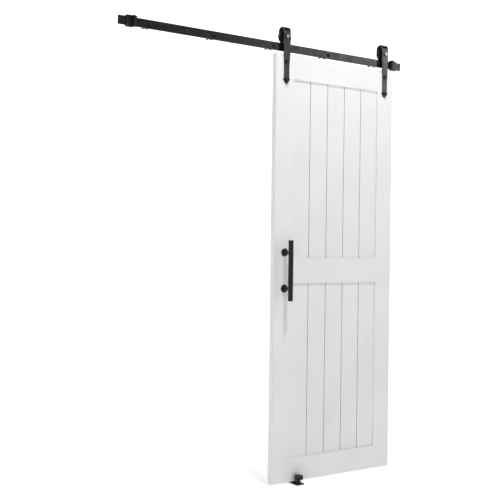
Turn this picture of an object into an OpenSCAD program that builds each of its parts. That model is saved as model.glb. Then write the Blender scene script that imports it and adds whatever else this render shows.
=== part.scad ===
// Sliding barn door with its track, hangers, handle, end stops and floor guide.
// Origin: on the wall plane, at the track's centre bolt. +X runs to the right along
// the track, +Y goes into the wall, +Z is up. The door hangs on the -Y side.

/* [Door] */
// Width of the door
door_w = 762; // [610:1:1067]
// Height of the door
door_h = 2134; // [1778:1:2600]
// Thickness of the door's frame
door_t = 35; // [30:1:38]
// Width of the two stiles
stile_w = 106; // [80:1:140]
// Height of the top rail
top_rail_h = 119; // [80:1:160]
// Height of the middle rail
middle_rail_h = 125; // [80:1:160]
// Height of the bottom rail
bottom_rail_h = 119; // [80:1:200]
// Height of the middle rail's centre above the door's bottom edge
middle_rail_z = 1058.5; // [800:0.5:1300]
// Radius on the door's long outer edges
edge_r = 2; // [0.5:0.5:4]
// Thickness of the panel boards
board_t = 22; // [18:1:25]
// Width of the narrow groove between two boards
board_gap = 2.2; // [1:0.1:4]
// How far the boards and the rails reach into the frame's groove
tongue_l = 9; // [6:1:12]
// Thickness of the tongue between two boards
tongue_t = 8; // [6:1:10]
// Clearance round the boards and tenons in their grooves
board_fit = 0.2; // [0.1:0.1:0.5]
// Diameter of the dowels that join rails and stiles
dowel_d = 10; // [8:1:12]
// Length of those dowels
dowel_l = 60; // [40:1:80]
// Width of the guide groove in the bottom edge
kerf_w = 8; // [7:0.5:12]
// Depth of the guide groove in the bottom edge
kerf_d = 15; // [12:1:25]

/* [Track] */
// Length of the track bar
track_l = 1664; // [1600:1:2438]
// Height of the track bar
track_h = 40; // [35:1:50]
// Thickness of the track bar
track_t = 6; // [5:1:8]
// Distance of the outermost wall bolts from the track's ends
bolt_inset = 156.4; // [140:0.1:250]
// Length of the spacers between wall and track
spacer_l = 36; // [33:0.5:45]
// Diameter of the spacers
spacer_d = 30; // [22:1:36]
// Radius of the bolt holes in track and spacers
bolt_hole_r = 4.5; // [4.2:0.1:5.5]
// Radius of a wall bolt's thread
lag_thread_r = 4; // [3:0.1:4.1]
// Radius of a wall bolt's plain shank
lag_shank_r = 3.5; // [2.5:0.1:4]
// How far a wall bolt goes into the wall
lag_depth = 52; // [40:1:70]
// Gap between the track's lower edge and the door's top edge
door_gap = 14.7; // [8:0.1:25]

/* [Hangers] */
// Distance of each hanger's centre line from the door's side edge
hanger_inset = 60; // [50:1:120]
// Thickness of the hanger strap
strap_t = 6; // [4:0.5:8]
// Width of the strap at the axle
strap_w = 40; // [34:1:45]
// Width of the strap at its neck, above the arrowhead
neck_w = 28; // [20:1:33]
// Width of the arrowhead
arrow_w = 38; // [30:1:50]
// How far the strap's tip reaches below the door's top edge
strap_drop = 150; // [120:1:220]
// Length of the arrowhead from its corners to its tip
arrow_l = 23; // [16:1:32]
// Radius of the wheel's tread
tread_r = 31; // [25:0.5:40]
// How far the wheel's flanges stand out beyond its tread
flange_rise = 4; // [3:0.5:6]
// Width of the wheel
wheel_w = 17; // [14:0.5:21]
// Radius inside the strap's bend
bend_r = 18.5; // [17.5:0.5:22]
// Gap between the wheel's corners and the strap's bend
bend_gap = 6.2; // [1:0.1:6.5]
// Radius of the axle bolt
axle_r = 6; // [5:0.5:6]
// Radius of the bearing's outer ring
bearing_r = 16; // [14:0.5:19]
// Width of the bearing
bearing_w = 10; // [8:0.5:12]
// Depth of the upper door bolt below the door's top edge
upper_bolt_drop = 39; // [25:1:60]
// Radius of the door bolts
door_bolt_r = 4; // [3:0.5:5]

/* [Stops] */
// Height of the end stops
stop_h = 52; // [46:1:64]
// Length of a stop's clamp along the track
stop_l = 36; // [25:1:50]
// How far a stop's bumper face is from the track's end
stop_from_end = 82; // [70:1:200]
// How far a stop's arm stands out in front of the track
stop_reach = 20; // [16:1:40]
// Thickness of the rubber bumper
bumper_t = 10; // [4:0.5:14]

/* [Handle] */
// Length of the handle bar
handle_l = 300; // [230:1:600]
// Diameter of the handle bar
handle_d = 25; // [18:1:32]
// Distance between the two handle posts
post_pitch = 180; // [100:1:400]
// Distance of the bar's axis from the door's face
handle_reach = 54.5; // [40:0.5:75]
// Distance of the handle from the door's left edge
handle_inset = 63; // [40:1:66]
// Diameter of the rose under each post
rose_d = 40; // [30:1:50]

/* [Floor guide] */
// Gap between the door's bottom edge and the floor
floor_gap = 12; // [8:1:20]
// Distance of the guide's centre from the door's left edge, as the door hangs at rest
guide_inset = 150.5; // [60:0.5:300]
// Width of the guide's base plate
plate_w = 48; // [42:1:60]
// Thickness of the guide's base plate
plate_t = 5; // [3:0.5:6]
// Radius of the guide's roller
roller_r = 22.5; // [15:0.5:28]
// Height of the guide's roller
roller_h = 19; // [14:1:30]
// Thickness of the fin that runs in the door's groove
fin_t = 6; // [4:0.5:7]

/* [Rest] */
// Gap between the right wheel and the right stop's bumper, as the door hangs at rest
rest_gap = 24; // [1:1:400]
// Roundness of the model
$fn = 64; // [32:16:128]

/* [Hidden] */

// Gap of a running fit, of a loose fit, and between a rolling face and what it rolls on
run_fit = 0.05;
loose_fit = 0.1;
roll_gap = 0.3;
// A cut is this much longer than what it cuts
over = 1;

// Places across the track: the wall plane is y = 0 and the door is in front of it
wheel_y = -(spacer_l + track_t / 2);
track_front = wheel_y - track_t / 2;
door_front = wheel_y - bend_r;
door_mid = door_front + door_t / 2;
door_back = door_front + door_t;
strap_front = door_front - strap_t;

// Heights: the track's centre line is z = 0
axle_z = track_h / 2 + roll_gap + tread_r;
flange_r = tread_r + flange_rise;
bend_rise = flange_r - sqrt(pow(bend_r - bend_gap, 2) - pow(wheel_w / 2, 2));
door_top = -track_h / 2 - door_gap;
door_bottom = door_top - door_h;
floor_z = door_bottom - floor_gap;
middle_z = door_bottom + middle_rail_z;
upper_low = middle_z + middle_rail_h / 2;
upper_high = door_top - top_rail_h;
lower_low = door_bottom + bottom_rail_h;
lower_high = middle_z - middle_rail_h / 2;

// Places along the track
bolt_count = 5;
bumper_inset = 2;
bolt_pitch = (track_l - 2 * bolt_inset) / (bolt_count - 1);
bolt_xs = [for (i = [0:bolt_count - 1]) (i - (bolt_count - 1) / 2) * bolt_pitch];
stop_inner = track_l / 2 - stop_from_end;
bumper_h = stop_h - 2 * bumper_inset;
wheel_reach = max(sqrt(pow(flange_r, 2) - pow(axle_z - bumper_h / 2, 2)), strap_w / 2 + 1);
door_offset = stop_inner - wheel_reach - rest_gap - door_w / 2 + hanger_inset;
door_left = door_offset - door_w / 2;
door_right = door_offset + door_w / 2;
left_x = door_left + hanger_inset;
right_x = door_right - hanger_inset;
handle_x = door_left + handle_inset;
guide_x = door_left + guide_inset;

// Wall bolts
washer_r = 12;
washer_t = 1.6;
lag_head_h = 5.3;
lag_head_r = 7.5;
lag_tip_l = 9;

// Door frame
field_left = door_left + stile_w;
field_right = door_right - stile_w;
board_count = 5;
board_pitch = (field_right - field_left) / board_count;
groove_l = tongue_l + 1;
groove_t = board_t + 2 * board_fit;
arris = 0.8;
dowel_spread = 64;

// Hangers
axle_hole_r = axle_r + run_fit;
axle_head_r = 8.5;
axle_head_h = 8;
axle_socket_r = 4.6;
axle_socket_l = 4;
axle_end = 1;
nut_r = 10.5;
nut_h = 7;
strap_low = door_top - strap_drop;
arrow_z = strap_low + arrow_l;
neck_z = arrow_z + 10;
taper_top = -track_h / 2;
taper_low = neck_z + 30;
taper_in = (strap_w - neck_w) / 2;
taper_r = (pow(taper_top - taper_low, 2) + pow(taper_in, 2)) / (2 * taper_in);
arrow_blunt = 1.5;
upper_bolt_z = door_top - upper_bolt_drop;
lower_bolt_z = arrow_z - 2;
bolt_head_r = 9.8;
bolt_head_h = 6.5;
bolt_washer_r = 11;
bolt_washer_t = 1.5;
sleeve_r = door_bolt_r + 2;
sleeve_flange_r = 10;
sleeve_flange_t = 2.5;
sleeve_from = 8;
sleeve_floor = 1.5;
sleeve_socket_r = 2.9;
sleeve_socket_l = 2.5;
bolt_end_gap = 2;
ring_wall = 3.4;
race_depth = 1;
ball_r = (bearing_r - axle_hole_r) / 2 - ring_wall + race_depth;
ball_path_r = (axle_hole_r + bearing_r) / 2;
ball_count = 8;
shield_t = 0.6;

// Wheels
tread_half = track_t / 2 + 0.7;
groove_flare = 1.4;
wheel_edge = 1.5;
hub_wall = 4;
rim_wall = 5;
dish_depth = 1.2;

// End stops
clamp_plate_t = 5;
clamp_lip = 7;
clamp_back_t = 3;
arm_t = 6;
stop_corner_r = 3;
stop_front = track_front - stop_reach;
set_screw_r = 3;
set_socket_r = 1.7;
set_socket_l = 3;

// Handle
post_r = 8;
post_foot_r = 6.5;
rose_t = 4;
bar_end_r = 2;
handle_axis = door_front - handle_reach;
handle_screw_r = 2.5;
screw_head_r = 5;
screw_head_h = 3;
post_seat = 4;
post_thread_l = 12;
post_bore_l = 16;

// Floor guide
roller_y = door_front - roll_gap - roller_r;
collar_r = 9;
plate_front = roller_y - 2 * collar_r;
plate_back = door_back - 2;
plate_corner_r = 3;
fin_l = 22;
fin_bite = kerf_d - 3;
roller_low = floor_z + plate_t + 20;
cap_room = 5;
post_top = roller_low + roller_h - cap_room;
journal_r = 5;
roller_edge = 4;
cap_r = 8;
cap_h = 3.5;
cap_chamfer = 1.5;
cap_gap = 2;
cap_thread_r = 2.5;
cap_thread_l = 12;
cap_socket_r = 3;
cap_socket_l = 1.5;
floor_screw_x = 17;
floor_shank_r = 1.8;
floor_thread_r = 2.2;
floor_screw_l = 30;
floor_tip_l = 5;
floor_head_r = 4.4;
floor_head_h = 2.6;

// Colours
white_paint = [0.93, 0.93, 0.93];
black_paint = [0.13, 0.13, 0.14];
black_nylon = [0.07, 0.07, 0.08];
black_rubber = [0.05, 0.05, 0.05];
plain_steel = [0.62, 0.62, 0.63];
beech = [0.78, 0.62, 0.42];

// ---- shapes used by several pieces ----

// A cylinder along +Y that starts at y
module rod_y(x, y, z, r, l) {
    translate([x, y, z]) rotate([-90, 0, 0]) cylinder(r = r, h = l);
}

// A round bar along +Y with a bore
module tube_y(x, y, z, r, bore, l) {
    difference() {
        rod_y(x, y, z, r, l);
        rod_y(x, y - over, z, bore, l + 2 * over);
    }
}

// A plain hexagon along +Y, r from its centre to its corners
module hex_y(x, y, z, r, l) {
    translate([x, y, z]) rotate([-90, 0, 0]) cylinder(r = r, h = l, $fn = 6);
}

// A hexagon head or nut: its corners are turned off at both ends
module hex_head(x, y, z, r, l) {
    face = 0.84 * r;
    slope = 0.1 * r;
    intersection() {
        hex_y(x, y, z, r, l);
        turned_y(x, y, z)
            polygon([[0, 0], [face, 0], [r, slope], [r, l - slope], [face, l], [0, l]]);
    }
}

// A box given by its two corners
module block(low, high) {
    translate(low) cube(high - low);
}

// A rectangle with round corners
module round_rect(w, h, r) {
    for (x = [-1, 1], y = [-1, 1]) translate([x * (w / 2 - r), y * (h / 2 - r)]) circle(r);
    square([w - 2 * r, h], center = true);
    square([w, h - 2 * r], center = true);
}

// A solid turned about an axis along +Y through x, z: points are [radius, distance along +Y]
module turned_y(x, y, z) {
    translate([x, y, z]) rotate([-90, 0, 0]) rotate_extrude() children();
}

// ---- track ----

module track() {
    color(black_paint) difference() {
        block([-track_l / 2, track_front, -track_h / 2],
              [track_l / 2, track_front + track_t, track_h / 2]);
        for (x = bolt_xs) rod_y(x, track_front - over, 0, bolt_hole_r, track_t + 2 * over);
    }
}

module wall_spacers() {
    color(black_paint) for (x = bolt_xs) tube_y(x, -spacer_l, 0, spacer_d / 2, bolt_hole_r, spacer_l);
}

module wall_washers() {
    color(black_paint) for (x = bolt_xs)
        tube_y(x, track_front - washer_t, 0, washer_r, lag_thread_r + loose_fit, washer_t);
}

// Hexagon-headed wood screws: plain shank through track and spacer, thread in the wall
module wall_bolts() {
    head_y = track_front - washer_t - lag_head_h;
    color(black_paint) for (x = bolt_xs) {
        hex_head(x, head_y, 0, lag_head_r, lag_head_h);
        rod_y(x, head_y + lag_head_h - over, 0, lag_shank_r, over - head_y - lag_head_h);
        rod_y(x, 0, 0, lag_thread_r, lag_depth - lag_tip_l);
        translate([x, lag_depth - lag_tip_l, 0]) rotate([-90, 0, 0])
            cylinder(r1 = lag_thread_r, r2 = 0.5, h = lag_tip_l);
    }
}

// ---- end stops: side is -1 at the left end and 1 at the right end ----

// Clamp that hooks over the track's two edges, with an arm across the hanger's way
module end_stop(side) {
    inner = stop_inner + bumper_t;
    color(black_paint) scale_side(side) difference() {
        union() {
            translate([inner + stop_l / 2, track_front - clamp_plate_t, 0]) rotate([-90, 0, 0])
                linear_extrude(clamp_plate_t + track_t + clamp_back_t)
                    round_rect(stop_l, stop_h, stop_corner_r);
            translate([inner, (stop_front + track_front) / 2, 0]) rotate([90, 0, 90])
                linear_extrude(arm_t) round_rect(stop_reach, stop_h, stop_corner_r);
            block([inner, track_front - stop_reach / 2, -stop_h / 2],
                  [inner + arm_t, track_front - loose_fit, stop_h / 2]);
        }
        block([inner - over, track_front - loose_fit, -track_h / 2 - loose_fit],
              [inner + stop_l + over, track_front + track_t + loose_fit, track_h / 2 + loose_fit]);
        block([inner - over, track_front, -track_h / 2 + clamp_lip],
              [inner + stop_l + over, 0, track_h / 2 - clamp_lip]);
        for (z = [-1, 1])
            rod_y(inner + (arm_t + stop_l) / 2, stop_front - over, z * track_h / 4,
                  set_screw_r + run_fit, stop_reach + over);
    }
}

// Mirror to the left end
module scale_side(side) {
    if (side < 0) mirror([1, 0, 0]) children();
    else children();
}

module bumper(side) {
    color(black_rubber) scale_side(side)
        translate([stop_inner, (stop_front + track_front) / 2, 0]) rotate([90, 0, 90])
            linear_extrude(bumper_t) round_rect(stop_reach - 1, bumper_h, stop_corner_r);
}

module left_stop() { end_stop(-1); }
module right_stop() { end_stop(1); }
module left_bumper() { bumper(-1); }
module right_bumper() { bumper(1); }

// Headless screws that press the clamps on the track
module stop_screws() {
    x = stop_inner + bumper_t + (arm_t + stop_l) / 2;
    y = track_front - loose_fit - clamp_plate_t;
    color(plain_steel) for (side = [-1, 1], z = [-1, 1]) difference() {
        rod_y(side * x, y, z * track_h / 4, set_screw_r, clamp_plate_t);
        hex_y(side * x, y - over, z * track_h / 4, set_socket_r, over + set_socket_l);
    }
}

// ---- floor guide ----

module guide_plate() {
    color(black_paint) difference() {
        union() {
            translate([guide_x, (plate_front + plate_back) / 2, floor_z]) linear_extrude(plate_t)
                round_rect(plate_w, plate_back - plate_front, plate_corner_r);
            translate([guide_x - fin_l / 2, door_mid - fin_t / 2, floor_z + plate_t / 2])
                cube([fin_l, fin_t, floor_gap + fin_bite - plate_t / 2 - fin_t / 2]);
            translate([guide_x - fin_l / 2, door_mid, door_bottom + fin_bite - fin_t / 2])
                rotate([0, 90, 0]) cylinder(r = fin_t / 2, h = fin_l);
        }
        translate([guide_x, roller_y, floor_z - over])
            cylinder(r = journal_r + run_fit, h = plate_t + 2 * over);
        for (side = [-1, 1]) translate([guide_x + side * floor_screw_x, door_mid, 0]) {
            translate([0, 0, floor_z - over])
                cylinder(r = floor_thread_r + loose_fit, h = plate_t + 2 * over);
            translate([0, 0, floor_z + plate_t - floor_head_h])
                cylinder(r1 = floor_thread_r + loose_fit, r2 = floor_head_r + loose_fit,
                         h = floor_head_h);
        }
    }
}

// Countersunk wood screws: plain shank in the plate, thread in the floor
module guide_floor_screws() {
    color(black_paint) for (side = [-1, 1])
        translate([guide_x + side * floor_screw_x, door_mid, floor_z]) rotate_extrude()
            polygon([
                [0, plate_t], [floor_head_r, plate_t], [floor_shank_r, plate_t - floor_head_h],
                [floor_shank_r, 0], [floor_thread_r, 0],
                [floor_thread_r, plate_t + floor_tip_l - floor_screw_l],
                [0, plate_t - floor_screw_l]
            ]);
}

// Turned post: a spigot riveted in the plate, a collar under the roller, and its journal
module guide_post() {
    color(black_paint) translate([guide_x, roller_y, 0]) difference() {
        union() {
            translate([0, 0, floor_z]) cylinder(r = journal_r, h = plate_t + over);
            translate([0, 0, floor_z + plate_t])
                cylinder(r = collar_r, h = roller_low - roll_gap - floor_z - plate_t);
            translate([0, 0, roller_low - roll_gap - over])
                cylinder(r = journal_r, h = post_top - roller_low + roll_gap + over);
        }
        translate([0, 0, post_top - cap_thread_l - over])
            cylinder(r = cap_thread_r, h = cap_thread_l + 2 * over);
    }
}

module guide_roller() {
    color(black_nylon) translate([guide_x, roller_y, roller_low]) difference() {
        rotate_extrude() {
            difference() {
                union() {
                    square([roller_r - roller_edge, roller_h]);
                    translate([0, roller_edge]) square([roller_r, roller_h - 2 * roller_edge]);
                    for (z = [roller_edge, roller_h - roller_edge])
                        translate([roller_r - roller_edge, z]) circle(roller_edge);
                }
                translate([-roller_r, -over]) square([roller_r, roller_h + 2 * over]);
            }
        }
        translate([0, 0, -over]) cylinder(r = journal_r + run_fit, h = roller_h + 2 * over);
        translate([0, 0, roller_h - cap_room + roll_gap])
            cylinder(r = cap_r + cap_gap, h = cap_room + over);
    }
}

module guide_cap_screw() {
    color(black_paint) translate([guide_x, roller_y, post_top]) difference() {
        union() {
            translate([0, 0, -cap_thread_l])
                cylinder(r = cap_thread_r - run_fit, h = cap_thread_l + over);
            translate([0, 0, 2 * roll_gap]) cylinder(r1 = cap_r, r2 = cap_r - cap_chamfer, h = cap_h);
            cylinder(r = journal_r, h = 2 * roll_gap + over);
        }
        translate([0, 0, 2 * roll_gap + cap_h - cap_socket_l])
            cylinder(r = cap_socket_r, h = cap_socket_l + over, $fn = 6);
    }
}

// ---- door frame ----

// The guide groove along the bottom edge
module kerf() {
    block([door_left - over, door_mid - kerf_w / 2, door_bottom - over],
          [door_right + over, door_mid + kerf_w / 2, door_bottom + kerf_d]);
}

// A stile seen from above: its outer edge is rounded; side is -1 at the left
module stile_section(side) {
    outer = side < 0 ? door_left : door_right;
    inner = side < 0 ? field_left : field_right;
    difference() {
        union() {
            for (y = [door_front + edge_r, door_back - edge_r])
                translate([outer - side * edge_r, y]) circle(edge_r);
            translate([min(inner, outer - side * edge_r), door_front])
                square([stile_w - edge_r, door_t]);
            translate([min(inner, outer), door_front + edge_r])
                square([stile_w, door_t - 2 * edge_r]);
        }
        translate([inner + (side < 0 ? -groove_l : -over), door_mid - groove_t / 2])
            square([groove_l + over, groove_t]);
    }
}

module stile(side) {
    color(white_paint) difference() {
        translate([0, 0, door_bottom]) linear_extrude(door_h) stile_section(side);
        kerf();
        dowel_holes();
        hanger_holes();
        handle_holes();
    }
}

module left_stile() { stile(-1); }
module right_stile() { stile(1); }

// A rail between the stiles, with stub tenons and a groove for the boards
module cross_rail(low, high, groove_low, groove_high) {
    color(white_paint) difference() {
        union() {
            block([field_left, door_front, low], [field_right, door_back, high]);
            block([field_left - tongue_l, door_mid - board_t / 2, low],
                  [field_right + tongue_l, door_mid + board_t / 2, high]);
        }
        if (groove_low)
            block([field_left - groove_l - over, door_mid - groove_t / 2, low - over],
                  [field_right + groove_l + over, door_mid + groove_t / 2, low + groove_l]);
        if (groove_high)
            block([field_left - groove_l - over, door_mid - groove_t / 2, high - groove_l],
                  [field_right + groove_l + over, door_mid + groove_t / 2, high + over]);
        kerf();
        dowel_holes();
    }
}

module door_top_rail() { cross_rail(upper_high, door_top, true, false); }
module door_middle_rail() { cross_rail(lower_high, upper_low, true, true); }
module door_bottom_rail() { cross_rail(door_bottom, lower_low, false, true); }

// Dowel heights: two for each rail, about the middle of its solid part
function dowel_rows() =
    [for (z = [(upper_high + groove_l + door_top) / 2, middle_z,
               (door_bottom + kerf_d + lower_low - groove_l) / 2], s = [-1, 1])
        z + s * dowel_spread / 2];

module dowels(r, l) {
    for (x = [field_left, field_right], z = dowel_rows())
        translate([x - l / 2, door_mid, z]) rotate([0, 90, 0]) cylinder(r = r, h = l);
}

module dowel_holes() { dowels(dowel_d / 2 + run_fit, dowel_l + 2 * over); }

module frame_dowels() {
    color(beech) dowels(dowel_d / 2, dowel_l);
}

// ---- panel boards: number i of the row between two rails ----

// A board seen from above: its long edges stand apart from the next board's, and a tongue
// crosses the gap into that board's groove
module board_section(i) {
    first = i == 0;
    last = i == board_count - 1;
    low = field_left + i * board_pitch + board_gap / 2;
    high = field_left + (i + 1) * board_pitch - board_gap / 2;
    front = door_mid - board_t / 2;
    back = door_mid + board_t / 2;
    left_end = first ? field_left - tongue_l : low;
    right_end = last ? field_right + tongue_l : high;
    left_v = first ? 0 : arris;
    right_v = last ? 0 : arris;
    difference() {
        union() {
            polygon([
                [left_end, front + left_v], [left_end + left_v, front],
                [right_end - right_v, front], [right_end, front + right_v],
                [right_end, back - right_v], [right_end - right_v, back],
                [left_end + left_v, back], [left_end, back - left_v]
            ]);
            if (!last) translate([right_end - over, door_mid - tongue_t / 2])
                square([over + board_gap + tongue_l - 1, tongue_t]);
        }
        if (!first) translate([left_end - over, door_mid - tongue_t / 2 - board_fit])
            square([tongue_l + over, tongue_t + 2 * board_fit]);
    }
}

module board(i, low, high) {
    color(white_paint) translate([0, 0, low - tongue_l])
        linear_extrude(high - low + 2 * tongue_l) board_section(i);
}

module upper_board(i) { board(i, upper_low, upper_high); }
module lower_board(i) { board(i, lower_low, lower_high); }

// ---- hangers ----

// The strap's front leg, seen from the front: its sides curve in to the neck, and it ends
// in an arrowhead
module strap_outline() {
    difference() {
        translate([-strap_w / 2, neck_z]) square([strap_w, axle_z + over - neck_z]);
        for (side = [-1, 1]) {
            translate([side * (neck_w / 2 + taper_r), taper_low]) circle(r = taper_r, $fn = 720);
            translate([side * strap_w / 2 - (side < 0 ? over : taper_in), neck_z - over])
                square([taper_in + over, taper_low - neck_z + over]);
        }
    }
    polygon([
        [-neck_w / 2, neck_z + over], [-neck_w / 2, neck_z], [-arrow_w / 2, arrow_z],
        [-arrow_blunt, strap_low + arrow_blunt], [0, strap_low],
        [arrow_blunt, strap_low + arrow_blunt], [arrow_w / 2, arrow_z],
        [neck_w / 2, neck_z], [neck_w / 2, neck_z + over]
    ]);
}

// The back leg ends round, just below the axle
module strap_tail() {
    translate([0, axle_z]) circle(strap_w / 2);
    translate([-strap_w / 2, axle_z]) square([strap_w, over]);
}

// The strap's bend over the wheel, with both legs down to the axle
module strap_bend() {
    outer = bend_r + strap_t;
    translate([-strap_w / 2, wheel_y, axle_z + bend_rise]) rotate([90, 0, 90])
        linear_extrude(strap_w) difference() {
            union() {
                circle(outer);
                translate([-outer, -bend_rise]) square([2 * outer, bend_rise]);
            }
            circle(bend_r);
            translate([-bend_r, -bend_rise - over]) square([2 * bend_r, bend_rise + over]);
        }
}

module hanger(x) {
    back_inner = wheel_y + bend_r;
    color(black_paint) translate([x, 0, 0]) difference() {
        union() {
            translate([0, door_front, 0]) rotate([90, 0, 0]) linear_extrude(strap_t) strap_outline();
            translate([0, back_inner + strap_t, 0]) rotate([90, 0, 0])
                linear_extrude(strap_t) strap_tail();
            strap_bend();
        }
        rod_y(0, strap_front - over, axle_z, axle_hole_r, 2 * (bend_r + strap_t + over));
        for (z = [upper_bolt_z, lower_bolt_z])
            rod_y(0, strap_front - over, z, door_bolt_r + run_fit, strap_t + 2 * over);
    }
}

module left_hanger() { hanger(left_x); }
module right_hanger() { hanger(right_x); }

// Holes through the stiles for the hangers' bolts and their sleeve nuts
module hanger_holes() {
    for (x = [left_x, right_x], z = [upper_bolt_z, lower_bolt_z]) {
        rod_y(x, door_front - over, z, sleeve_r + run_fit, door_t + 2 * over);
    }
}

module door_bolts() {
    y = strap_front - bolt_washer_t;
    end = door_back - sleeve_socket_l - sleeve_floor - bolt_end_gap;
    color(black_paint) for (x = [left_x, right_x], z = [upper_bolt_z, lower_bolt_z]) {
        hex_head(x, y - bolt_head_h, z, bolt_head_r, bolt_head_h);
        rod_y(x, y - over, z, door_bolt_r, end - y + over);
    }
}

module door_bolt_washers() {
    color(black_paint) for (x = [left_x, right_x], z = [upper_bolt_z, lower_bolt_z])
        tube_y(x, strap_front - bolt_washer_t, z, bolt_washer_r, door_bolt_r + run_fit,
               bolt_washer_t);
}

// Sleeve nuts let in from the door's back, with a thin round flange
module door_sleeve_nuts() {
    color(black_paint) for (x = [left_x, right_x], z = [upper_bolt_z, lower_bolt_z])
        difference() {
            union() {
                rod_y(x, door_front + sleeve_from, z, sleeve_r, door_t - sleeve_from + over);
                rod_y(x, door_back, z, sleeve_flange_r, sleeve_flange_t);
            }
            rod_y(x, door_front, z, door_bolt_r + run_fit, door_t - sleeve_socket_l - sleeve_floor);
            hex_y(x, door_back - sleeve_socket_l, z, sleeve_socket_r,
                  sleeve_socket_l + sleeve_flange_t + over);
        }
}

// Half of a wheel's section: radius across, distance along the axle up
module wheel_section() {
    half = wheel_w / 2;
    difference() {
        union() {
            translate([bearing_r + run_fit, -half])
                square([flange_r - wheel_edge - bearing_r - run_fit, wheel_w]);
            translate([bearing_r + run_fit, -half + wheel_edge])
                square([flange_r - bearing_r - run_fit, wheel_w - 2 * wheel_edge]);
            for (y = [-1, 1]) translate([flange_r - wheel_edge, y * (half - wheel_edge)])
                circle(wheel_edge);
        }
        polygon([
            [tread_r, -tread_half], [flange_r + over, -tread_half - groove_flare],
            [flange_r + over, tread_half + groove_flare], [tread_r, tread_half]
        ]);
        for (y = [-1, 1]) translate([bearing_r + hub_wall, y * half - dish_depth])
            square([flange_r - rim_wall - bearing_r - hub_wall, 2 * dish_depth]);
    }
}

module wheel(x) {
    color(black_nylon) turned_y(x, wheel_y, axle_z) wheel_section();
}

module left_wheel() { wheel(left_x); }
module right_wheel() { wheel(right_x); }

// Bolt through both legs of the strap, with a round flat head that has a hexagon socket
module axle(x) {
    end = 2 * (bend_r + strap_t) + nut_h + axle_end;
    color(plain_steel) difference() {
        turned_y(x, strap_front, axle_z)
            polygon([
                [0, -axle_head_h], [axle_head_r - axle_end, -axle_head_h],
                [axle_head_r, axle_end - axle_head_h], [axle_head_r, 0], [axle_r, 0],
                [axle_r, end - axle_end], [axle_r - axle_end, end], [0, end]
            ]);
        hex_y(x, strap_front - axle_head_h - over, axle_z, axle_socket_r,
              over + axle_socket_l);
    }
}

module left_axle() { axle(left_x); }
module right_axle() { axle(right_x); }

module axle_nut(x) {
    y = wheel_y + bend_r + strap_t;
    color(plain_steel) difference() {
        hex_head(x, y, axle_z, nut_r, nut_h);
        rod_y(x, y - over, axle_z, axle_hole_r, nut_h + 2 * over);
    }
}

module left_axle_nut() { axle_nut(left_x); }
module right_axle_nut() { axle_nut(right_x); }

// Two bushes hold the bearing's inner ring in the middle of the strap
module bushes(x) {
    l = bend_r - bearing_w / 2;
    color(plain_steel) for (y = [wheel_y - bend_r, wheel_y + bearing_w / 2])
        tube_y(x, y, axle_z, axle_r + 2.6, axle_hole_r, l);
}

module left_bushes() { bushes(left_x); }
module right_bushes() { bushes(right_x); }

// A bearing ring between two radii, with the balls' track cut in it
module bearing_ring(x, r_in, r_out) {
    color(plain_steel) turned_y(x, wheel_y, axle_z) difference() {
        translate([r_in, -bearing_w / 2]) square([r_out - r_in, bearing_w]);
        translate([ball_path_r, 0]) circle(ball_r + (r_out == bearing_r ? run_fit : roll_gap));
        if (r_out == bearing_r) for (y = [-1, 1])
            translate([r_in - over, y * (bearing_w / 2 - 1) - shield_t / 2 - run_fit])
                square([over + 1, shield_t + 2 * run_fit]);
    }
}

module left_bearing_outer() { bearing_ring(left_x, bearing_r - ring_wall, bearing_r); }
module right_bearing_outer() { bearing_ring(right_x, bearing_r - ring_wall, bearing_r); }
module left_bearing_inner() { bearing_ring(left_x, axle_hole_r, axle_hole_r + ring_wall); }
module right_bearing_inner() { bearing_ring(right_x, axle_hole_r, axle_hole_r + ring_wall); }

module bearing_balls(x) {
    color(plain_steel) for (i = [0:ball_count - 1])
        translate([x, wheel_y, axle_z]) rotate([0, i * 360 / ball_count, 0])
            translate([ball_path_r, 0, 0]) sphere(ball_r);
}

module left_bearing_balls() { bearing_balls(left_x); }
module right_bearing_balls() { bearing_balls(right_x); }

module bearing_shields(x) {
    inner = axle_hole_r + ring_wall + roll_gap;
    color(plain_steel) for (y = [-1, 1])
        tube_y(x, wheel_y + y * (bearing_w / 2 - 1) - shield_t / 2, axle_z,
               bearing_r - ring_wall + 0.8, inner, shield_t);
}

module left_bearing_shields() { bearing_shields(left_x); }
module right_bearing_shields() { bearing_shields(right_x); }

// ---- handle ----

function post_heights() = [for (s = [-1, 1]) middle_z + s * post_pitch / 2];

module handle_bar() {
    color(black_paint) translate([handle_x, handle_axis, middle_z - handle_l / 2]) difference() {
        rotate_extrude() {
            square([handle_d / 2 - bar_end_r, handle_l]);
            translate([0, bar_end_r]) square([handle_d / 2, handle_l - 2 * bar_end_r]);
            for (z = [bar_end_r, handle_l - bar_end_r]) intersection() {
                translate([handle_d / 2 - bar_end_r, z]) circle(bar_end_r);
                square([handle_d, handle_l]);
            }
        }
        for (s = [-1, 1]) translate([0, 0, handle_l / 2 + s * post_pitch / 2]) rotate([-90, 0, 0])
            cylinder(r = post_foot_r + run_fit, h = handle_d);
    }
}

// A post is turned down where it enters the bar, and stands on its rose
module handle_posts() {
    seat = handle_axis + sqrt(pow(handle_d / 2, 2) - pow(post_r, 2));
    color(black_paint) for (z = post_heights()) difference() {
        union() {
            difference() {
                rod_y(handle_x, seat - post_seat, z, post_r,
                      door_front - rose_t - seat + post_seat);
                translate([handle_x, handle_axis, z - post_r - over])
                    cylinder(r = handle_d / 2 + run_fit, h = 2 * (post_r + over));
            }
            rod_y(handle_x, handle_axis + 1, z, post_foot_r, handle_reach - rose_t - 1);
        }
        rod_y(handle_x, door_front - rose_t - post_bore_l, z, handle_screw_r, post_bore_l + over);
    }
}

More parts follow.
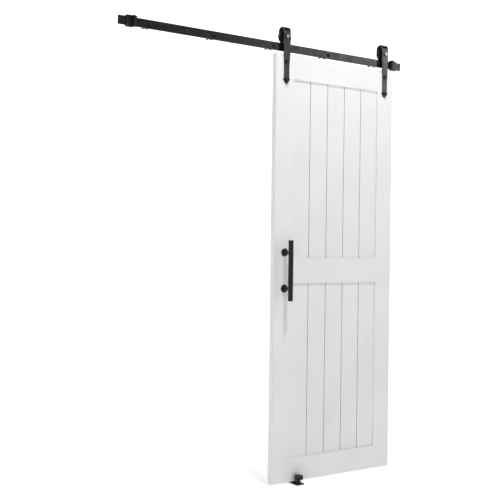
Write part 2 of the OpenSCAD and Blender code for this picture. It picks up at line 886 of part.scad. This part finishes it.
module handle_roses() {
    color(black_paint) for (z = post_heights()) turned_y(handle_x, door_front - rose_t, z)
        polygon([
            [handle_screw_r + loose_fit, 0], [rose_d / 2 - 1.5, 0],
            [rose_d / 2, 1.5], [rose_d / 2, rose_t], [handle_screw_r + loose_fit, rose_t]
        ]);
}

// Countersunk machine screws from the door's back into the posts
module handle_screws() {
    color(black_paint) for (z = post_heights()) {
        rod_y(handle_x, door_front - rose_t - post_thread_l, z, handle_screw_r - run_fit,
              post_thread_l + rose_t + door_t - screw_head_h);
        turned_y(handle_x, door_back - screw_head_h, z)
            polygon([
                [0, 0], [handle_screw_r, 0], [screw_head_r, screw_head_h], [0, screw_head_h]
            ]);
    }
}

module handle_holes() {
    for (z = post_heights()) {
        rod_y(handle_x, door_front - over, z, handle_screw_r + loose_fit, door_t + 2 * over);
        turned_y(handle_x, door_back - screw_head_h, z)
            polygon([
                [0, 0], [handle_screw_r + loose_fit, 0],
                [screw_head_r + loose_fit, screw_head_h],
                [screw_head_r + loose_fit, screw_head_h + over], [0, screw_head_h + over]
            ]);
    }
}

track();
wall_spacers();
wall_bolts();
wall_washers();
left_stop();
right_stop();
left_bumper();
right_bumper();
stop_screws();
guide_plate();
guide_post();
guide_cap_screw();
guide_floor_screws();
guide_roller();
left_stile();
right_stile();
door_top_rail();
door_middle_rail();
door_bottom_rail();
upper_board(0);  // upper_board_1
upper_board(1);  // upper_board_2
upper_board(2);  // upper_board_3
upper_board(3);  // upper_board_4
upper_board(4);  // upper_board_5
lower_board(0);  // lower_board_1
lower_board(1);  // lower_board_2
lower_board(2);  // lower_board_3
lower_board(3);  // lower_board_4
lower_board(4);  // lower_board_5
frame_dowels();
left_hanger();
right_hanger();
left_wheel();
right_wheel();
left_axle();
right_axle();
left_axle_nut();
right_axle_nut();
left_bushes();
right_bushes();
left_bearing_outer();
right_bearing_outer();
left_bearing_inner();
right_bearing_inner();
left_bearing_balls();
right_bearing_balls();
left_bearing_shields();
right_bearing_shields();
door_bolts();
door_bolt_washers();
door_sleeve_nuts();
handle_bar();
handle_posts();
handle_roses();
handle_screws();
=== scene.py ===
"""A sliding barn door on its wall track, with a soft studio round it. Metres throughout."""

import math

import bpy
from mathutils import Matrix, Vector


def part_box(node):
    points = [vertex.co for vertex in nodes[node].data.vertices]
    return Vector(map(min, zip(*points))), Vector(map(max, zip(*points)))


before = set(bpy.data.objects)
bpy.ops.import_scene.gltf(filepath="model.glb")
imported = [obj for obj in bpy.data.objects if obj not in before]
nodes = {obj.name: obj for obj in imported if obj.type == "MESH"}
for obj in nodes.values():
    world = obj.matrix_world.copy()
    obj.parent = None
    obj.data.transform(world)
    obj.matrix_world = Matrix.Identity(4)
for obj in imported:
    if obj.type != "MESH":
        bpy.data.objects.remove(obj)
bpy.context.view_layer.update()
MM = 0.001

# Sockets that share one name on the Math and Mix nodes, so they are picked by number
MATH_A, MATH_B, MATH_C = 0, 1, 2
MIX_FACTOR, MIX_COLOUR_A, MIX_COLOUR_B, MIX_COLOUR_OUT = 0, 6, 7, 2


# ---- places, worked out from the frame ----

door_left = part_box("left_stile")[0][0]
door_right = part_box("right_stile")[1][0]
door_front, door_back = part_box("left_stile")[0][1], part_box("left_stile")[1][1]
door_low, door_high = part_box("left_stile")[0][2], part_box("left_stile")[1][2]
floor_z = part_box("guide_plate")[0][2]


# ---- materials ----

def colour(hex_code):
    """An sRGB hex colour as the linear values that a shader reads."""
    parts = [int(hex_code[i:i + 2], 16) / 255 for i in (1, 3, 5)]
    linear = [c / 12.92 if c <= 0.04045 else ((c + 0.055) / 1.055) ** 2.4 for c in parts]
    return (*linear, 1)


def add(tree, kind, settings=None, links=None):
    """Adds a node to a tree. settings are its own properties or sockets, and links are the
    outputs of other nodes that lead into it."""
    node = tree.nodes.new(kind)
    for name, value in (settings or {}).items():
        if isinstance(name, str) and hasattr(node, name):
            setattr(node, name, value)
        else:
            node.inputs[name].default_value = value
    for name, source in (links or {}).items():
        tree.links.new(source, node.inputs[name])
    return node


def new_material(name, settings):
    """A material with one Principled shader, set to plain values."""
    made = bpy.data.materials.new(name)
    made.use_nodes = True
    tree = made.node_tree
    shader = tree.nodes["Principled BSDF"]
    for socket, value in settings.items():
        shader.inputs[socket].default_value = value
    return made, tree, shader


def ramp(tree, source, stops):
    """A colour ramp on a value: stops are (position, hex colour)."""
    node = add(tree, "ShaderNodeValToRGB", links={"Fac": source})
    band = node.color_ramp
    while len(band.elements) < len(stops):
        band.elements.new(0.5)
    for element, (place, code) in zip(band.elements, stops):
        element.position = place
        element.color = colour(code)
    return node.outputs["Color"]


# Most of a noise pattern lies between these two values
NOISE_LOW, NOISE_HIGH = 0.3, 0.7


def grey_ramp(tree, source, low, high):
    """Maps a noise pattern to a plain value that runs from low to high."""
    node = add(tree, "ShaderNodeMapRange",
               {"From Min": NOISE_LOW, "From Max": NOISE_HIGH, "To Min": low, "To Max": high},
               {"Value": source})
    return node.outputs["Result"]


def powder_coat(name, dark, light, rough, grain=0.9):
    """Black polyester powder coat on steel: baked paint with a fine orange peel. It is a
    satin black that shows soft wide highlights, in two blacks that pass into each other over
    45 mm. grain is the size of the orange peel in millimetres."""
    made, tree, shader = new_material(name, {"Roughness": rough, "IOR": 1.5,
                                             "Specular IOR Level": 0.5})
    place = add(tree, "ShaderNodeTexCoord").outputs["Object"]
    cloud = add(tree, "ShaderNodeTexNoise", {"Scale": 1 / (45 * MM), "Detail": 4.0},
                {"Vector": place})
    peel = add(tree, "ShaderNodeTexNoise", {"Scale": 1 / (grain * MM), "Detail": 2.0},
               {"Vector": place})
    tree.links.new(ramp(tree, cloud.outputs["Fac"], [(0.35, dark), (0.7, light)]),
                   shader.inputs["Base Color"])
    tree.links.new(grey_ramp(tree, cloud.outputs["Fac"], rough - 0.05, rough + 0.07),
                   shader.inputs["Roughness"])
    bump = add(tree, "ShaderNodeBump", {"Strength": 0.25, "Distance": 0.06 * MM},
               {"Height": peel.outputs["Fac"]})
    tree.links.new(bump.outputs["Normal"], shader.inputs["Normal"])
    return made


def turned_steel(name, dark, light, rough):
    """Turned steel, bare or plated: a metal with a fine uneven tooth of 0.35 mm, in two greys
    that pass into each other over 9 mm."""
    made, tree, shader = new_material(name, {"Metallic": 1.0, "Roughness": rough})
    place = add(tree, "ShaderNodeTexCoord").outputs["Object"]
    cloud = add(tree, "ShaderNodeTexNoise", {"Scale": 1 / (9 * MM), "Detail": 5.0},
                {"Vector": place})
    lines = add(tree, "ShaderNodeTexNoise", {"Scale": 1 / (0.35 * MM), "Detail": 3.0},
                {"Vector": place})
    tree.links.new(ramp(tree, cloud.outputs["Fac"], [(0.3, dark), (0.72, light)]),
                   shader.inputs["Base Color"])
    tree.links.new(grey_ramp(tree, lines.outputs["Fac"], rough - 0.06, rough + 0.1),
                   shader.inputs["Roughness"])
    bump = add(tree, "ShaderNodeBump", {"Strength": 0.2, "Distance": 0.03 * MM},
               {"Height": lines.outputs["Fac"]})
    tree.links.new(bump.outputs["Normal"], shader.inputs["Normal"])
    return made


ALONG_X, ALONG_Z = 0, 2

# Distances along a piece count this much for its grain, so the grain is long and narrow
GRAIN_STRETCH = 0.03

# The near-black colour between the boards, where no foil reaches: the bare fibreboard core,
# painted far darker than bare fibreboard as painted shade in the gaps. A board is 22 mm
# thick with an arris of 0.8 mm, so its edges reach 10.2 mm from its middle plane
FIBREBOARD_AND_PAINTED_SHADE = "#191715"
BARE_SHADE_DEPTH = 10.1 * MM


def white_foil(name, light, shade, along, bare_shade_depth=None):
    """White PVC foil pressed on fibreboard: a satin white with a fine embossed grain of
    2.2 mm, drawn out along each piece. along is the axis that the grain follows. The last
    argument is how far from the door's middle plane a board's edges take a near-black colour:
    bare fibreboard, painted far darker as painted shade in the gaps between the boards."""
    made, tree, shader = new_material(name, {"Roughness": 0.42, "IOR": 1.5,
                                             "Coat Weight": 0.1, "Coat Roughness": 0.3})
    place = add(tree, "ShaderNodeTexCoord").outputs["Object"]
    stretch = [1.0, 1.0, 1.0]
    stretch[along] = GRAIN_STRETCH
    grain_place = add(tree, "ShaderNodeMapping", {"Scale": stretch}, {"Vector": place})
    grain = add(tree, "ShaderNodeTexNoise",
                {"Scale": 1 / (2.2 * MM), "Detail": 6.0, "Roughness": 0.65},
                {"Vector": grain_place.outputs["Vector"]})
    cloud = add(tree, "ShaderNodeTexNoise", {"Scale": 1 / (260 * MM), "Detail": 2.0},
                {"Vector": place})
    both = add(tree, "ShaderNodeMix", {"data_type": "FLOAT", "Factor": 0.5},
               {"A": grain.outputs["Fac"], "B": cloud.outputs["Fac"]})
    tone = ramp(tree, both.outputs["Result"], [(0.3, shade), (0.62, light)])
    # Faces in the gaps between the boards take a near-black colour: bare fibreboard plus
    # painted shade
    if bare_shade_depth:
        depth = add(tree, "ShaderNodeSeparateXYZ", {}, {"Vector": place}).outputs["Y"]
        inside = add(tree, "ShaderNodeMath",
                     {"operation": "COMPARE", MATH_B: (door_front + door_back) / 2,
                      MATH_C: bare_shade_depth},
                     {MATH_A: depth})
        edge = add(tree, "ShaderNodeMix",
                   {"data_type": "RGBA", MIX_COLOUR_B: colour(FIBREBOARD_AND_PAINTED_SHADE)},
                   {MIX_FACTOR: inside.outputs["Value"], MIX_COLOUR_A: tone})
        tone = edge.outputs[MIX_COLOUR_OUT]
    tree.links.new(tone, shader.inputs["Base Color"])
    tree.links.new(grey_ramp(tree, grain.outputs["Fac"], 0.36, 0.5),
                   shader.inputs["Roughness"])
    bump = add(tree, "ShaderNodeBump", {"Strength": 0.22, "Distance": 0.12 * MM},
               {"Height": grain.outputs["Fac"]})
    tree.links.new(bump.outputs["Normal"], shader.inputs["Normal"])
    return made


def moulded(name, dark, light, rough, grain=0.7):
    """Black nylon or rubber, moulded or turned: an even dull black with a slight sheen and a
    fine speckle. grain is the size of the speckle in millimetres."""
    made, tree, shader = new_material(name, {"Roughness": rough, "IOR": 1.53,
                                             "Specular IOR Level": 0.3})
    place = add(tree, "ShaderNodeTexCoord").outputs["Object"]
    spots = add(tree, "ShaderNodeTexNoise", {"Scale": 1 / (grain * MM), "Detail": 4.0},
                {"Vector": place})
    tree.links.new(ramp(tree, spots.outputs["Fac"], [(0.3, dark), (0.75, light)]),
                   shader.inputs["Base Color"])
    tree.links.new(grey_ramp(tree, spots.outputs["Fac"], rough - 0.05, rough + 0.08),
                   shader.inputs["Roughness"])
    bump = add(tree, "ShaderNodeBump", {"Strength": 0.3, "Distance": 0.05 * MM},
               {"Height": spots.outputs["Fac"]})
    tree.links.new(bump.outputs["Normal"], shader.inputs["Normal"])
    return made


def beech(name):
    """Beech dowel rod, turned: a warm pale brown with short dark flecks along its length,
    which runs along X. The flecks are 1.2 mm wide."""
    made, tree, shader = new_material(name, {"Roughness": 0.6})
    place = add(tree, "ShaderNodeTexCoord").outputs["Object"]
    run = add(tree, "ShaderNodeMapping", {"Scale": (0.08, 1, 1)}, {"Vector": place})
    flecks = add(tree, "ShaderNodeTexNoise", {"Scale": 1 / (1.2 * MM), "Detail": 5.0},
                 {"Vector": run.outputs["Vector"]})
    tree.links.new(ramp(tree, flecks.outputs["Fac"], [(0.35, "#8A6239"), (0.6, "#C9A06C")]),
                   shader.inputs["Base Color"])
    bump = add(tree, "ShaderNodeBump", {"Strength": 0.3, "Distance": 0.08 * MM},
               {"Height": flecks.outputs["Fac"]})
    tree.links.new(bump.outputs["Normal"], shader.inputs["Normal"])
    return made


# White foil, with its grain along each piece. The boards' edges in the gaps are bare
# fibreboard darkened with painted shade
foil_upright = white_foil("foil_on_fibreboard_upright", "#F3F3F5", "#ECECEE", ALONG_Z)
foil_across = white_foil("foil_on_fibreboard_across", "#F3F3F5", "#ECECEE", ALONG_X)
foil_boards = white_foil("foil_on_boards", "#F2F2F4", "#EAEAED", ALONG_Z, bare_shade_depth=BARE_SHADE_DEPTH)

# Powder coat. The hangers are the darkest and glossiest, and the floor guide is the dullest
coated_track = powder_coat("powder_coat_track", "#0C0C0D", "#121214", 0.38)
coated_strap = powder_coat("powder_coat_strap", "#0A0A0B", "#101012", 0.34)
coated_stop = powder_coat("powder_coat_stop", "#0C0C0E", "#131315", 0.4)
coated_handle = powder_coat("powder_coat_handle", "#0D0D0F", "#141416", 0.4)
coated_guide = powder_coat("powder_coat_guide", "#101012", "#1A1A1C", 0.5)

# Black zinc plate: near black and dull, with a finer grain
blackened_bolt = powder_coat("black_zinc_on_steel", "#060607", "#0B0B0C", 0.5, grain=0.5)

# Zinc plate is a mid grey, the bush is bare turned steel, the bearings are ground and nearly
# bright, and the oxide is a dark grey
zinc_axle = turned_steel("zinc_plated_axle", "#8E8E8F", "#B2B2B3", 0.3)
turned_bush = turned_steel("turned_steel_bush", "#77797C", "#9A9C9F", 0.38)
ground_steel = turned_steel("ground_bearing_steel", "#A5A7AA", "#C8CACD", 0.22)
dark_oxide = turned_steel("dark_oxide_steel", "#2B2B2D", "#3C3C3F", 0.45)

# Nylon has a slight sheen, and rubber is dull with a coarser speckle
nylon_wheel = moulded("turned_nylon_wheel", "#0A0A0B", "#111113", 0.42)
nylon_roller = moulded("turned_nylon_roller", "#0C0C0E", "#16161A", 0.38)
black_rubber = moulded("moulded_rubber", "#0E0E0F", "#19191A", 0.7, grain=1.2)

beech_dowel = beech("turned_beech")

NODE_MATERIALS = {
    foil_upright: ["left_stile", "right_stile"],
    foil_across: ["door_top_rail", "door_middle_rail", "door_bottom_rail"],
    foil_boards: [f"{row}_board_{i}" for row in ("upper", "lower") for i in range(1, 6)],
    coated_track: ["track", "wall_spacers"],
    coated_strap: ["left_hanger", "right_hanger"],
    coated_stop: ["left_stop", "right_stop"],
    coated_handle: ["handle_bar", "handle_posts", "handle_roses"],
    coated_guide: ["guide_plate", "guide_post", "guide_cap_screw"],
    blackened_bolt: ["wall_bolts", "wall_washers", "door_bolts", "door_bolt_washers",
                     "door_sleeve_nuts", "handle_screws", "guide_floor_screws"],
    zinc_axle: ["left_axle", "right_axle", "left_axle_nut", "right_axle_nut"],
    turned_bush: ["left_bushes", "right_bushes"],
    ground_steel: [f"{side}_bearing_{part}" for side in ("left", "right")
                   for part in ("outer", "inner", "balls", "shields")],
    dark_oxide: ["stop_screws"],
    nylon_wheel: ["left_wheel", "right_wheel"],
    nylon_roller: ["guide_roller"],
    black_rubber: ["left_bumper", "right_bumper"],
    beech_dowel: ["frame_dowels"],
}


def finish_nodes():
    """Gives every CAD node its real finish."""
    for made, names in NODE_MATERIALS.items():
        for name in names:
            for slot in nodes[name].material_slots:
                slot.material = made


finish_nodes()


# ---- studio ----

# The floor's half width, which is also how far it comes forward, the distance to the wall
# behind, the wall's height, and the radius of the bend between the two
FLOOR_REACH, WALL_BACK, WALL_HEIGHT, BEND_RADIUS = 20.0, 11.0, 14.0, 3.0
BEND_STEPS = 12
FLOOR_GAP = 0.5 * MM

# The floor glows, so that it is white up to the wall, and least at the door, where a shadow
# falls on it. The glow grows over these distances in front of and behind the plane Y = 0
GLOW_UNDER_DOOR, GLOW_IN_FRONT, GLOW_BEHIND = 0.4, 0.84, 0.98
FRONT_RISE, BACK_RISE = 6.0, 1.1


def build_floor():
    """A pale floor that runs up into a pale wall far behind, in one curve."""
    flat_end = WALL_BACK - BEND_RADIUS
    profile = [(-FLOOR_REACH, 0.0), (flat_end, 0.0)]
    for i in range(1, BEND_STEPS + 1):
        turn = math.radians(90 * i / BEND_STEPS)
        profile.append((flat_end + BEND_RADIUS * math.sin(turn),
                        BEND_RADIUS - BEND_RADIUS * math.cos(turn)))
    profile.append((WALL_BACK, WALL_HEIGHT))
    mesh = bpy.data.meshes.new("floor")
    points = [(x, y, floor_z - FLOOR_GAP + z) for x in (-FLOOR_REACH, FLOOR_REACH)
              for y, z in profile]
    n = len(profile)
    faces = [(i, n + i, n + i + 1, i + 1) for i in range(n - 1)]
    mesh.from_pydata(points, [], faces)
    floor = bpy.data.objects.new("floor", mesh)
    bpy.context.scene.collection.objects.link(floor)
    for face in mesh.polygons:
        face.use_smooth = True
    made, tree, shader = new_material("matt_white_paper", {
        "Base Color": colour("#F4F4F4"), "Roughness": 0.95, "Specular IOR Level": 0.1,
        "Emission Color": colour("#FFFFFF")})
    place = add(tree, "ShaderNodeTexCoord").outputs["Object"]
    split = add(tree, "ShaderNodeSeparateXYZ", {}, {"Vector": place})
    ahead = add(tree, "ShaderNodeMapRange",
                {"From Min": -FRONT_RISE, "From Max": 0.0,
                 "To Min": GLOW_IN_FRONT, "To Max": GLOW_UNDER_DOOR},
                {"Value": split.outputs["Y"]})
    behind = add(tree, "ShaderNodeMapRange",
                 {"From Min": 0.0, "From Max": BACK_RISE,
                  "To Min": GLOW_UNDER_DOOR, "To Max": GLOW_BEHIND},
                 {"Value": split.outputs["Y"]})
    glow = add(tree, "ShaderNodeMath", {"operation": "MAXIMUM"},
               {MATH_A: ahead.outputs["Result"], MATH_B: behind.outputs["Result"]})
    tree.links.new(glow.outputs["Value"], shader.inputs["Emission Strength"])
    mesh.materials.append(made)


build_floor()


def soft_light(name, place, target, size, power):
    """A square soft box that faces a point. Its size is in metres and its power in watts."""
    data = bpy.data.lights.new(name, "AREA")
    data.shape = "SQUARE"
    data.size = size
    data.energy = power
    light = bpy.data.objects.new(name, data)
    light.location = place
    light.rotation_euler = (Vector(target) - Vector(place)).to_track_quat("-Z", "Y").to_euler()
    bpy.context.scene.collection.objects.link(light)


# The sky's strength as it lights the scene, and as the camera sees it behind the floor
SKY_LIGHT, SKY_SEEN = 0.02, 1.0


def light_studio():
    """A large weak key from the left, a small strong lamp from above, a fill from the right,
    and a sky that is seen as white but gives little light."""
    door_middle = (door_left, 0, (door_low + door_high) / 2)
    soft_light("key", (-3.0, -3.2, 1.8), door_middle, 2.4, 14)
    soft_light("top", (-0.2, -1.9, 3.4), (door_left, 0, -0.9), 0.4, 138)
    soft_light("right", (3.3, -3.1, 1.05), (door_right, 0, -0.1), 1.4, 39)
    world = bpy.data.worlds.new("studio")
    bpy.context.scene.world = world
    world.use_nodes = True
    sky = world.node_tree.nodes["Background"]
    sky.inputs["Color"].default_value = (1, 1, 1, 1)
    path = add(world.node_tree, "ShaderNodeLightPath")
    bright = add(world.node_tree, "ShaderNodeMapRange",
                 {"To Min": SKY_LIGHT, "To Max": SKY_SEEN},
                 {"Value": path.outputs["Is Camera Ray"]})
    world.node_tree.links.new(bright.outputs["Result"], sky.inputs["Strength"])


light_studio()


# The camera's place, measured from the door's lower left front corner, in metres
FROM_DOOR_CORNER = (-2.2836, -3.3682, 1.1659)

# Its turn to the right of straight ahead, its dip and its tilt, in degrees
CAMERA_YAW, CAMERA_PITCH, CAMERA_ROLL = 32.461, 0.111, 0.717

# Its lens and the width of its sensor in millimetres, and how far it sees in metres
LENS, SENSOR, SIGHT = 59.407, 36, 100


def place_camera():
    """A camera at chest height with a rather long lens, left of the door and almost level."""
    yaw, pitch, roll = map(math.radians, (CAMERA_YAW, CAMERA_PITCH, CAMERA_ROLL))
    ahead = Vector((math.sin(yaw) * math.cos(pitch), math.cos(yaw) * math.cos(pitch),
                    -math.sin(pitch)))
    level = Vector((math.cos(yaw), -math.sin(yaw), 0))
    upright = level.cross(ahead)
    right = math.cos(roll) * level + math.sin(roll) * upright
    above = -math.sin(roll) * level + math.cos(roll) * upright
    turn = Matrix((right, above, -ahead)).transposed()
    data = bpy.data.cameras.new("camera")
    data.sensor_width = SENSOR
    data.lens = LENS
    data.clip_end = SIGHT
    camera = bpy.data.objects.new("camera", data)
    place = Vector((door_left, door_front, door_low)) + Vector(FROM_DOOR_CORNER)
    camera.matrix_world = Matrix.Translation(place) @ turn.to_4x4()
    bpy.context.scene.collection.objects.link(camera)
    bpy.context.scene.camera = camera


place_camera()

bpy.context.scene.view_settings.view_transform = "Standard"
